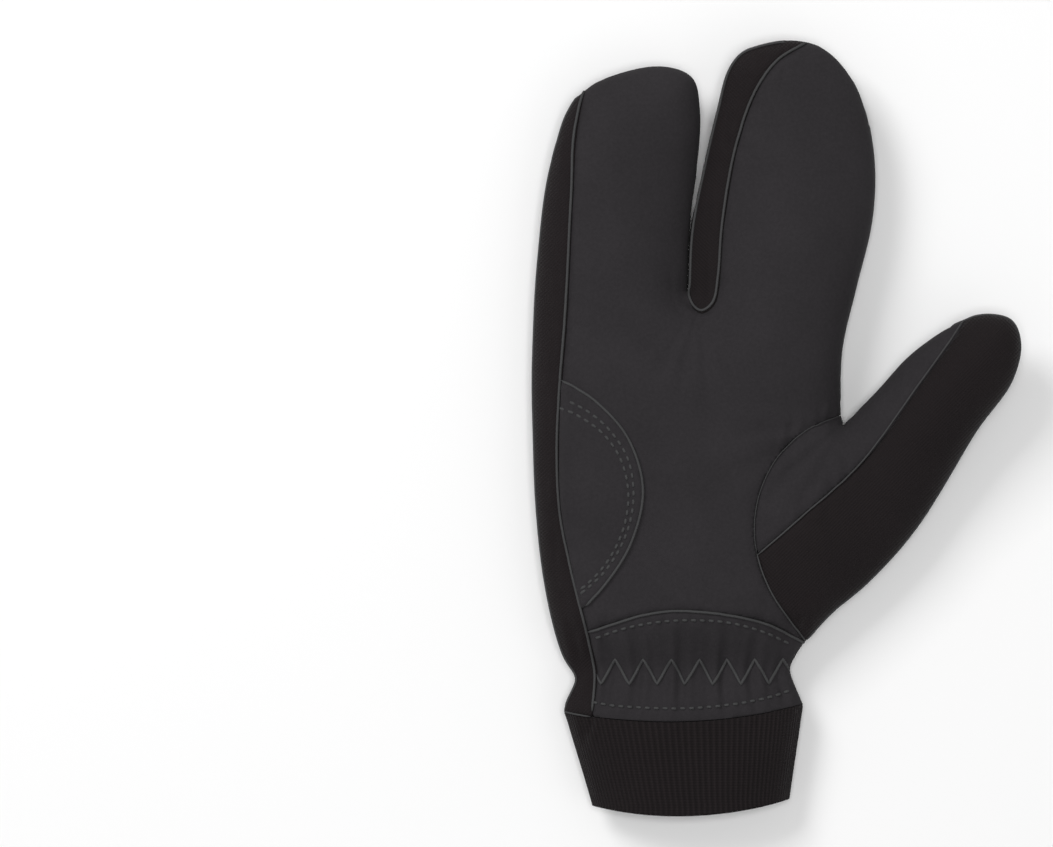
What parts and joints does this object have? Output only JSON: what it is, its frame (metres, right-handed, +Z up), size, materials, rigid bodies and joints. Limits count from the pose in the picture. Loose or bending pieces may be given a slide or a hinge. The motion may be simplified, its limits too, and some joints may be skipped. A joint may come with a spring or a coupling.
{
  "type": "lobster claw mitt",
  "caption": "Padded lobster claw winter mitt for the right hand, palm up, with split finger pockets, a grey palm with a heel patch, a gathered wrist and a short knit cuff.",
  "frame": {"origin": "middle of the underside of the whole mitt as it lies on its back", "axes": "+Z up out of the palm, +Y towards the fingertips, +X towards the thumb"},
  "size_m": [0.1722, 0.2748, 0.0342],
  "materials": {
    "palm_cloth": "matt dark grey synthetic suede",
    "shell_cloth": "matt black woven stretch shell",
    "cuff_knit": "matt black rib knit"
  },
  "bodies": {
    "root": {"palm_panel": "palm_cloth", "heel_patch": "palm_cloth", "thumb_inner": "palm_cloth", "wrist_panel": "palm_cloth", "back_panel": "shell_cloth", "index_fourchette": "shell_cloth", "thumb_outer": "shell_cloth", "knit_cuff": "cuff_knit"}
  },
  "joints": []
}
